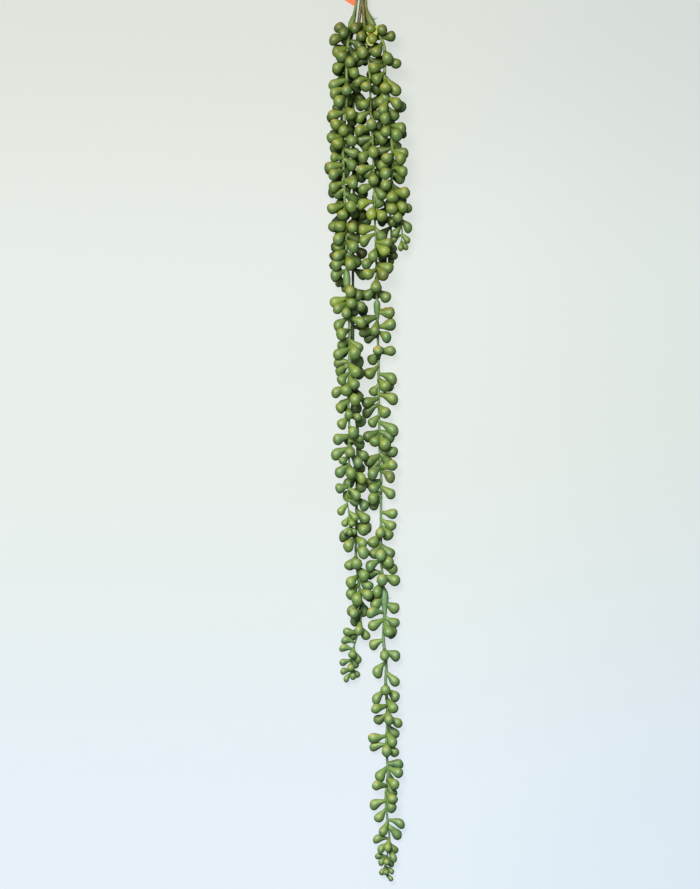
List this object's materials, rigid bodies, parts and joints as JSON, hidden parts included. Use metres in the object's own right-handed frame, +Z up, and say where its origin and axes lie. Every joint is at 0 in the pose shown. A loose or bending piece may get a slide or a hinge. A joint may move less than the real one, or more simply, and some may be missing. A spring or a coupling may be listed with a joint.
{
  "type": "cut bunch of trailing burro's tail stems",
  "caption": "Cut bunch of trailing burro's tail: slender stems with plump pear-shaped leaves in loose whorls, leaving a short main stem, laid on a surface.",
  "frame": {"origin": "middle of the bunch's footprint, on the surface that it lies on", "axes": "+Y from the stem tips towards the cut end, +X to the right as seen from above with the cut end away, +Z up"},
  "size_m": [0.0834, 0.8881, 0.0442],
  "materials": {
    "leaves": "waxy green skin with yellow-green flushes, satin",
    "main_stem": "olive-brown bark-like skin, matte",
    "tag": "plain orange card"
  },
  "bodies": {
    "root": {"stem_front_middle": "leaves", "stem_front_left": "leaves", "stem_front_right": "leaves", "stem_back_left": "leaves", "stem_back_right": "leaves", "stem_back_far_left": "leaves", "main_stem": "main_stem", "tag": "tag"}
  },
  "joints": []
}
